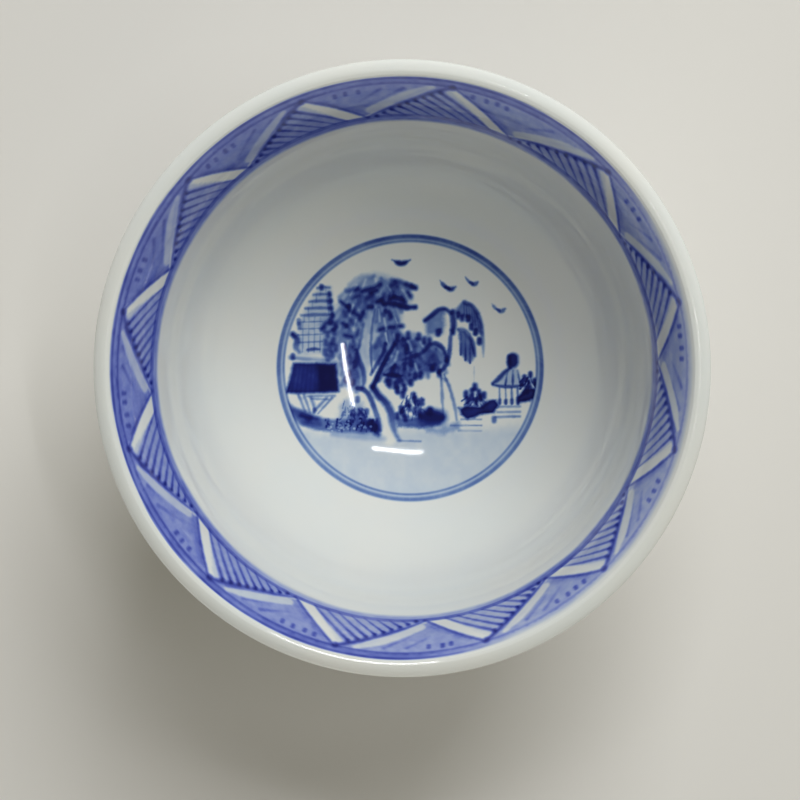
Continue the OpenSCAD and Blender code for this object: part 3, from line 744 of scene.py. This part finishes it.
def paint_border(angle, s, seed=5):
    """Cobalt density at directions (degrees) and heights up the wall (mm)."""
    peaks = [(i + 0.5) * 360 / REPEATS + shift for i, shift in enumerate(SHIFTS)]
    total = np.zeros(len(s))
    patchy = (0.72 + 0.32 * clouds_around(angle, MM_PER_DEGREE, s, 3.1, seed)
              + 0.24 * clouds_around(angle, 0.5 * MM_PER_DEGREE, s, 0.45, seed + 1))
    hand = np.random.default_rng(seed)
    for i, peak in enumerate(peaks):
        gap = (peaks[(i + 1) % REPEATS] - peak) % 360
        before = (peak - peaks[i - 1]) % 360
        left = -LEFT_SHARE * before * MM_PER_DEGREE
        right = (1 - LEFT_SHARE) * gap * MM_PER_DEGREE
        following = right + LEFT_SHARE * gap * MM_PER_DEGREE
        lean = hand.uniform(-1, 1, 6)
        # the panels darken towards that direction: partly a fuller brush, partly painted shade on the cup's
        # shaded side
        fuller_and_shaded = 0.5 + 0.5 * math.cos(math.radians(peak - FULLER_AND_SHADED_AT))
        c = Canvas(((angle - peak + 180) % 360 - 180) * MM_PER_DEGREE, s, 0.25, seed + 10 * i)
        paint_repeat(c, i, left, right, following, lean, fuller_and_shaded)
        total = 1 - (1 - total) * (1 - c.cobalt)
    for layer in edge_bands(angle, s, seed + 4):
        total = 1 - (1 - total) * (1 - np.clip(layer * patchy, 0, 1))
    return np.clip(total, 0, 1)


# ---- Meshes ----

COARSE = 6              # cells of the visible side to one cell of the hidden underside, each way


def grid_faces(rows, columns, closed):
    """Quads over a grid of rows; a closed grid's last column joins its first."""
    across = columns if closed else columns - 1
    i, j = [g.ravel() for g in np.meshgrid(np.arange(rows - 1), np.arange(across), indexing="ij")]
    k = (j + 1) % columns
    return np.stack([i * columns + j, (i + 1) * columns + j, (i + 1) * columns + k, i * columns + k], -1)


def skirt(fine, coarse):
    """Faces between a loop on the visible side and the coarser loop under it."""
    start = np.arange(len(coarse)) * COARSE
    upper = fine[(start[:, None] + np.arange(COARSE + 1)) % len(fine)]
    return np.hstack([upper, np.roll(coarse, -1)[:, None], coarse[:, None]])


def backward(loop):
    return np.roll(loop[::-1], 1)


def make_piece(name, points, faces, rims, material, cobalt, bake_uv):
    """A smooth mesh object with sharp rims, from millimetres; faces[0] is its visible side."""
    mesh = bpy.data.meshes.new(name)
    mesh.from_pydata((points * MM).tolist(), [], [face for part in faces for face in part.tolist()])
    mesh.polygons.foreach_set("use_smooth", np.ones(len(mesh.polygons), bool))
    pairs = np.zeros(len(mesh.edges) * 2, np.int32)
    mesh.edges.foreach_get("vertices", pairs)
    pairs = pairs.reshape(-1, 2)
    rim_of = np.zeros(len(points), np.int32)
    for k, rim in enumerate(rims):
        rim_of[rim] = k + 1
    sharp = (rim_of[pairs[:, 0]] > 0) & (rim_of[pairs[:, 0]] == rim_of[pairs[:, 1]])
    mesh.edges.foreach_set("use_edge_sharp", sharp)
    layer = mesh.attributes.new("cobalt", "FLOAT", "POINT")
    layer.data.foreach_set("value", np.pad(cobalt, (0, len(points) - len(cobalt))).astype(np.float32))
    # the hidden faces share one small square of the layout for baking
    corners = np.array([[0.001, 0.001], [0.001, 0.005], [0.005, 0.005], [0.005, 0.001]])
    hidden = np.resize(corners, (sum(part.size for part in faces[1:]), 2))
    uv = mesh.uv_layers.new(name="OFBake")
    uv.data.foreach_set("uv", np.vstack([bake_uv, hidden]).astype(np.float32).ravel())
    mesh.materials.append(material)
    piece = bpy.data.objects.new(name, mesh)
    bpy.context.scene.collection.objects.link(piece)
    return piece


def turned_piece(name, runs, columns, material, paint=None, strips=2):
    """A closed shell turned about the cup's axis, under the skin at the given distances along it.

    paint gives the cobalt's density by direction in degrees, distance along the skin and height.
    """
    line, out = skin_at(runs)
    rows = len(runs)
    angle = 2 * math.pi * np.arange(columns) / columns
    under_rows = np.append(np.arange(0, rows - 1, COARSE), rows - 1)
    under_columns = columns // COARSE

    def spun(profile, turn):
        return np.stack([profile[:, :1] * np.cos(turn), profile[:, :1] * np.sin(turn),
                         np.repeat(profile[:, 1:], len(turn), 1)], -1).reshape(-1, 3)

    points = np.vstack([spun(line, angle), spun((line - SHELL * out)[under_rows], angle[::COARSE])])
    low = rows * columns
    top = grid_faces(rows, columns, True)
    under = grid_faces(len(under_rows), under_columns, True)[:, ::-1] + low
    first = np.arange(columns)
    last = first + low - columns
    under_first = np.arange(under_columns) + low
    under_last = under_first + (len(under_rows) - 1) * under_columns
    faces = [top, under, skirt(first, under_first), skirt(backward(last), backward(under_last))]
    cobalt = np.zeros(low)
    if paint:
        cobalt = paint(np.tile(np.degrees(angle), rows), np.repeat(runs, columns),
                       np.repeat(line[:, 1], columns))
    # for baking, the band lies in a few strips, one above the other
    j = np.tile(np.arange(columns), rows - 1)
    i = np.repeat(np.arange(rows - 1), columns)
    share = (runs - runs[0]) / (runs[-1] - runs[0])
    strip = j * strips // columns
    u = np.stack([j, j, j + 1, j + 1], -1) * strips / columns - strip[:, None]
    v = np.stack([share[i], share[i + 1], share[i + 1], share[i]], -1)
    uv = np.stack([0.01 + 0.98 * u, (strip[:, None] + 0.04 + 0.92 * v) / strips], -1).reshape(-1, 2)
    return make_piece(name, points, faces, [first, last, under_first, under_last], material, cobalt, uv)


def round_grid(cells):
    """A square grid drawn in to a round disc of radius 1, and the loop of vertices around its edge."""
    t = np.linspace(-1, 1, cells + 1)
    a, b = [g.ravel() for g in np.meshgrid(t, t, indexing="ij")]
    steep = np.abs(a) > np.abs(b)
    reach = np.where(steep, a, b)
    turn = math.pi / 4 * np.where(steep, b, a) / np.where(reach == 0, 1, reach)
    x = reach * np.where(steep, np.cos(turn), np.sin(turn))
    y = reach * np.where(steep, np.sin(turn), np.cos(turn))
    c = np.arange(cells)
    n = cells + 1
    return np.stack([x, y], -1), np.concatenate([c * n, cells * n + c, (n - c) * n - 1, cells - c])


def disc_piece(name, centre_run, edge_run, cells, material, paint=None):
    """A closed shell under a round patch of the skin about the cup's axis."""

    def spread(flat, drop):
        part = np.hypot(*flat.T)
        line, out = skin_at(centre_run + (edge_run - centre_run) * part)
        profile = line - drop * out
        away = flat / np.maximum(part, 1e-9)[:, None]
        return np.hstack([away * profile[:, :1], profile[:, 1:]])

    flat, rim = round_grid(cells)
    under_flat, under_rim = round_grid(cells // COARSE)
    low = len(flat)
    points = np.vstack([spread(flat, 0), spread(under_flat, SHELL)])
    top = grid_faces(cells + 1, cells + 1, False)
    under = grid_faces(cells // COARSE + 1, cells // COARSE + 1, False)[:, ::-1] + low
    faces = [top, under, skirt(backward(rim), backward(under_rim) + low)]
    if edge_run < centre_run:
        faces = [part[:, ::-1] for part in faces]
    cobalt = paint(*points[:low, :2].T) if paint else np.zeros(low)
    uv = 0.5 + 0.47 * flat[faces[0].ravel()]
    return make_piece(name, points, faces, [rim, under_rim + low], material, cobalt, uv)


# ---- Materials ----

WHITE = (0.79, 0.805, 0.785)
# colour by density of the cobalt: violet on the border and outside, steel blue in the well
VIOLET_COBALT = ((0.0, WHITE), (0.12, (0.60, 0.655, 0.74)), (0.3, (0.345, 0.41, 0.70)),
                 (0.5, (0.165, 0.215, 0.61)), (0.7, (0.065, 0.092, 0.45)), (0.88, (0.018, 0.026, 0.25)),
                 (1.0, (0.006, 0.008, 0.09)))
STEEL_COBALT = ((0.0, WHITE), (0.12, (0.57, 0.645, 0.73)), (0.3, (0.32, 0.43, 0.64)),
                (0.5, (0.14, 0.23, 0.50)), (0.7, (0.055, 0.10, 0.36)), (0.88, (0.012, 0.022, 0.20)),
                (1.0, (0.004, 0.005, 0.07)))


class Finish:
    """A node material, and short ways to add the nodes that the porcelains share."""

    def __init__(self, name):
        self.material = bpy.data.materials.new(name)
        self.material.use_nodes = True
        self.tree = self.material.node_tree
        self.shader = self.tree.nodes["Principled BSDF"]
        self.place = self.add("ShaderNodeTexCoord").outputs["Object"]

    def add(self, kind, **settings):
        """A node; each setting is a property of its own, or else the value of a socket."""
        node = self.tree.nodes.new(kind)
        for key, value in settings.items():
            if hasattr(node, key):
                setattr(node, key, value)
            else:
                node.inputs[key.replace("_", " ")].default_value = value
        return node

    def link(self, output, socket):
        self.tree.links.new(output, socket)

    def finish(self, **outputs):
        for name, output in outputs.items():
            self.link(output, self.shader.inputs[name.replace("_", " ")])
        return self.material

    def texture(self, kind, **settings):
        """A texture node laid in the object's own coordinates."""
        node = self.add(kind, **settings)
        self.link(self.place, node.inputs["Vector"])
        return node

    def noise(self, scale, detail, **settings):
        return self.texture("ShaderNodeTexNoise", Scale=scale, Detail=detail, **settings).outputs["Fac"]

    def ramp(self, number, stops):
        node = self.add("ShaderNodeValToRGB")
        elements = node.color_ramp.elements
        while len(elements) < len(stops):
            elements.new(0.5)
        for element, (place, colour) in zip(elements, stops):
            element.position = place
            element.color = (*colour, 1)
        self.link(number, node.inputs["Fac"])
        return node.outputs["Color"]

    def spread(self, number, low, high):
        """A number from 0 to 1 spread over another range."""
        node = self.add("ShaderNodeMapRange", To_Min=low, To_Max=high)
        self.link(number, node.inputs["Value"])
        return node.outputs["Result"]

    def multiply(self, first, second, share=None):
        """Two colours multiplied, everywhere or by a share that a node gives."""
        node = self.add("ShaderNodeMix", data_type="RGBA", blend_type="MULTIPLY")
        if share:
            self.link(share, node.inputs["Factor"])
        else:
            node.inputs["Factor"].default_value = 1.0
        self.link(first, node.inputs["A"])
        self.link(second, node.inputs["B"])
        return node.outputs["Result"]

    def bump(self, height, strength, distance, under=None):
        node = self.add("ShaderNodeBump", Strength=strength, Distance=distance)
        self.link(height, node.inputs["Height"])
        if under:
            self.link(under, node.inputs["Normal"])
        return node.outputs["Normal"]


def glazed_porcelain(name, cobalt_stops):
    """Clear glaze over white porcelain, with cobalt where the painter laid it."""
    f = Finish(name)
    painted = f.ramp(f.add("ShaderNodeAttribute", attribute_name="cobalt").outputs["Fac"], cobalt_stops)
    # glaze lies unevenly, so the white is a little cooler and darker where it is thick
    tint = f.ramp(f.noise(55.0, 3.0), ((0.35, (1.0, 0.995, 0.98)), (0.65, (0.965, 0.985, 0.99))))
    pooled = f.multiply(painted, tint)
    # iron specks, few and small
    specks = f.texture("ShaderNodeTexVoronoi", Scale=260.0)
    spots = f.ramp(specks.outputs["Distance"], ((0.035, (0.62, 0.5, 0.4)), (0.055, (1, 1, 1))))
    chance = f.add("ShaderNodeSeparateColor")
    f.link(specks.outputs["Color"], chance.inputs["Color"])
    few = f.add("ShaderNodeMath", operation="GREATER_THAN")
    few.inputs[1].default_value = 0.985
    f.link(chance.outputs["Red"], few.inputs[0])
    speckled = f.multiply(pooled, spots, few.outputs["Value"])
    # gloss: slow waves from the wheel and the dipping, and a faint orange peel
    waves = f.noise(90.0, 1.0)
    peel = f.noise(1300.0, 1.0)
    rough = f.spread(waves, 0.035, 0.085)
    slow = f.bump(waves, 0.5, 0.05 * MM)
    fine = f.bump(peel, 0.35, 0.006 * MM, slow)
    f.shader.inputs["IOR"].default_value = 1.52
    return f.finish(Base_Color=speckled, Roughness=rough, Normal=fine)


def biscuit_porcelain(name):
    """Unglazed porcelain: matt and fine-grained, with turning marks and a little grey from use."""
    f = Finish(name)
    grime = f.noise(420.0, 6.0, Roughness=0.65)
    worn = f.ramp(grime, ((0.28, (0.50, 0.46, 0.40)), (0.48, (0.68, 0.645, 0.59)), (0.7, (0.75, 0.72, 0.67))))
    rings = f.texture("ShaderNodeTexWave", wave_type="RINGS", rings_direction="Z",
                      Scale=450.0, Distortion=1.5)
    grain = f.noise(5200.0, 3.0)
    turned = f.bump(rings.outputs["Fac"], 0.4, 0.03 * MM)
    sandy = f.bump(grain, 0.5, 0.02 * MM, turned)
    return f.finish(Base_Color=worn, Roughness=f.spread(grime, 0.6, 0.85), Normal=sandy)


# ---- Pieces ----

def spaced(start, end, step):
    """Even distances from start to end, no further apart than a step."""
    return np.linspace(start, end, max(2, int(math.ceil(abs(end - start) / step)) + 1))


def scene_cobalt(x, y):
    """The scene's density at places in the well (mm)."""
    return paint_scene(Canvas(100 * x / ROUNDEL_R, 100 * y / ROUNDEL_R, 2, 3))


def rings_cobalt(angle, run, z):
    """The rings, and the scene's outermost strokes that run under them."""
    r = np.interp(run, RUN[:TOP], SKIN[:TOP, 0])
    share = r / ROUNDEL_R
    turn = np.radians(angle)
    under = scene_cobalt(r * np.cos(turn), r * np.sin(turn)) * ease((0.95 - share) / 0.01)
    return 1 - (1 - under) * (1 - ring_cobalt(share, turn))


def border_cobalt(angle, run, z):
    return paint_border(angle, (run - BORDER_START) / (BORDER_END - BORDER_START) * BORDER_W)


def outside_cobalt(angle, run, z):
    """Two thin lines under the lip and two around the foot."""
    drift = clouds_around(angle, 0.1, z * 0, 1.0, 41) - 0.5
    laid = np.zeros(len(z))
    for k, low in enumerate(OUTSIDE_LINES):
        press = 0.62 + 0.3 * clouds_around(angle, 0.15, z * 0, 1.0, 50 + k)
        middle = low + LINE_H / 2 + 0.16 * drift
        laid = np.maximum(laid, press * ease((LINE_H / 2 + 0.1 - np.abs(z - middle)) / 0.16))
    return laid


glaze = glazed_porcelain("glazed_porcelain", VIOLET_COBALT)
well_glaze = glazed_porcelain("glazed_porcelain_of_the_well", STEEL_COBALT)
biscuit = biscuit_porcelain("biscuit_porcelain")

painted_roundel = disc_piece("painted_roundel", 0, SCENE_EDGE, 306, well_glaze, scene_cobalt)
roundel_rings = turned_piece("roundel_rings", spaced(SCENE_EDGE, ROUNDEL_EDGE, 0.09), 1320, well_glaze,
                             rings_cobalt, 4)
inside_wall = turned_piece("inside_wall", spaced(ROUNDEL_EDGE, PAINT_START, 0.7), 720, glaze)
painted_border = turned_piece("painted_border", spaced(PAINT_START, PAINT_END, 0.2), 1440, glaze,
                              border_cobalt, 4)
rounded_lip = turned_piece("rounded_lip", spaced(PAINT_END, LIP_END, 0.06), 720, glaze, strips=4)

line_runs = [run_at(z + LINE_H / 2, 1, TOP, SOLE) for z in OUTSIDE_LINES]
outside_runs = np.unique(np.round(np.concatenate(
    [spaced(LIP_END, GLAZE_END, 0.9), spaced(GLAZE_END - 1.2, GLAZE_END, 0.1)]
    + [spaced(run - 0.55, run + 0.55, 0.08) for run in line_runs]), 6))      # closer rows under the lines
outside_wall = turned_piece("outside_wall", outside_runs, 480, glaze, outside_cobalt)
foot_contact = turned_piece("foot_contact", spaced(GLAZE_END, RECESS_START, 0.08), 480, biscuit, strips=4)
foot_recess = disc_piece("foot_recess", RUN[-1], RECESS_START, 120, glaze)

# which CAD nodes each piece stands for, and the name of a finish
for piece, slot, nodes in (
        (painted_roundel, "dark_cobalt", ("roundel_birds", "roundel_pagoda", "roundel_hut",
                                          "roundel_tree", "roundel_willow", "roundel_rocks",
                                          "roundel_pavilion", "roundel_water")),
        (roundel_rings, "pale_cobalt", ("roundel_outer_line", "roundel_wash_ring", "roundel_inner_line")),
        (inside_wall, "clear_glaze", ("inner_glaze",)),
        (painted_border, "cobalt", ("border_upper_line", "border_dotted_panels",
                                    "border_hatched_panels", "border_lower_line")),
        (rounded_lip, "clear_glaze", ("lip_glaze",)),
        (outside_wall, "clear_glaze", ("outer_glaze", "outside_lip_lines", "outside_foot_lines")),
        (foot_contact, "porcelain", ("foot_ring",)),
        (foot_recess, "clear_glaze", ("recess_glaze",))):
    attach(piece, "root")
    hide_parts(*nodes)

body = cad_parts["bowl_body"]
body.data.materials.clear()
body.data.materials.append(biscuit)

# ---- Floor, light and camera: metres ----

HALF_FLOOR = 0.9
LAMP_FAR = 1.2          # from the cup to the window and the fill
PANEL_FAR = 1.0
CAMERA_HEIGHT = 0.35    # above the lip
CAMERA_OFF_AXIS = (0.0145, 0.0011)
VIEW = (-0.0417, -0.0153, -1)       # the camera's direction, nearly straight down


def pale_floor():
    material = bpy.data.materials.new("pale_floor")
    material.use_nodes = True
    shader = material.node_tree.nodes["Principled BSDF"]
    shader.inputs["Base Color"].default_value = (0.80, 0.785, 0.76, 1)
    shader.inputs["Roughness"].default_value = 0.55
    mesh = bpy.data.meshes.new("floor")
    corners = [(x * HALF_FLOOR, y * HALF_FLOOR, 0) for x, y in ((-1, -1), (1, -1), (1, 1), (-1, 1))]
    mesh.from_pydata(corners, [], [(0, 1, 2, 3)])
    mesh.materials.append(material)
    floor = bpy.data.objects.new("floor", mesh)
    bpy.context.scene.collection.objects.link(floor)
    return floor


def above(azimuth, elevation, distance):
    """A point seen from the cup at an azimuth and an elevation in degrees."""
    a, e = math.radians(azimuth), math.radians(elevation)
    return distance * math.cos(a) * math.cos(e), distance * math.sin(a) * math.cos(e), distance * math.sin(e)


def area_light(name, place, aim, size, power, colour=(1, 1, 1), turn=0):
    """A rectangular lamp that faces a height on the cup's axis, turned about that line by degrees."""
    data = bpy.data.lights.new(name, "AREA")
    data.shape = "RECTANGLE"
    data.size, data.size_y = size
    data.energy = power
    data.color = colour
    lamp = bpy.data.objects.new(name, data)
    lamp.location = place
    lamp.rotation_mode = "QUATERNION"
    facing = (Vector((0, 0, aim)) - Vector(place)).to_track_quat("-Z", "Y")
    lamp.rotation_quaternion = facing @ Quaternion((0, 0, 1), math.radians(turn))
    lamp.visible_camera = False
    bpy.context.scene.collection.objects.link(lamp)
    return lamp


def soft_light(*settings):
    """An area light that the glaze doesn't mirror."""
    area_light(*settings).visible_glossy = False


def room():
    """Surroundings that are dim overhead and pale along the horizon."""
    world = bpy.data.worlds.new("room")
    world.use_nodes = True
    tree = world.node_tree
    direction = tree.nodes.new("ShaderNodeTexCoord").outputs["Generated"]
    split = tree.nodes.new("ShaderNodeSeparateXYZ")
    glow = tree.nodes.new("ShaderNodeValToRGB")
    horizon, overhead = glow.color_ramp.elements
    horizon.position = 0.12
    horizon.color = (0.55, 0.54, 0.52, 1)
    overhead.position = 0.38
    overhead.color = (0.1, 0.093, 0.067, 1)
    tree.links.new(direction, split.inputs["Vector"])
    tree.links.new(split.outputs["Z"], glow.inputs["Fac"])
    tree.links.new(glow.outputs["Color"], tree.nodes["Background"].inputs["Color"])
    return world


def view_camera():
    """A camera that looks nearly straight down into the cup, from a little to the right of its axis."""
    forward = Vector(VIEW).normalized()
    right = Vector((0, 1, 0)).cross(-forward).normalized()
    up = (-forward).cross(right)
    camera = bpy.data.objects.new("camera", bpy.data.cameras.new("camera"))
    camera.data.lens = 116
    camera.data.sensor_width = 36
    camera.data.clip_start = 0.01
    camera.matrix_world = Matrix((right, up, -forward)).transposed().to_4x4()
    camera.location = (*CAMERA_OFF_AXIS, (HEIGHT - LIP_T / 2) * MM + CAMERA_HEIGHT)
    bpy.context.scene.collection.objects.link(camera)
    return camera


floor = pale_floor()

# a window to the upper right, a weak fill opposite, and two low panels that light the outside but
# hardly reach over the lip
soft_light("window", above(68, 48, LAMP_FAR), 0.03, (0.65, 0.65), 9.8, (0.99, 1.0, 0.985))
soft_light("fill", above(290, 40, LAMP_FAR), 0.03, (0.6, 0.6), 0.95, (1.0, 0.93, 0.66))
soft_light("panel_front", above(260, 5, PANEL_FAR), 0.025, (0.5, 0.12), 2.2)
soft_light("panel_back", above(150, 5, PANEL_FAR), 0.025, (0.5, 0.12), 0.8)
# two ceiling tubes that the glaze mirrors
area_light("tube_right", (0.412, 0.047, 1.2), 0.02, (0.46, 0.018), 1.12, turn=3.5)
area_light("tube_top", (0.05, 0.62, 1.2), 0.02, (0.38, 0.018), 0.9)

bpy.context.scene.world = room()
bpy.context.scene.view_settings.view_transform = "Standard"
bpy.context.scene.camera = view_camera()
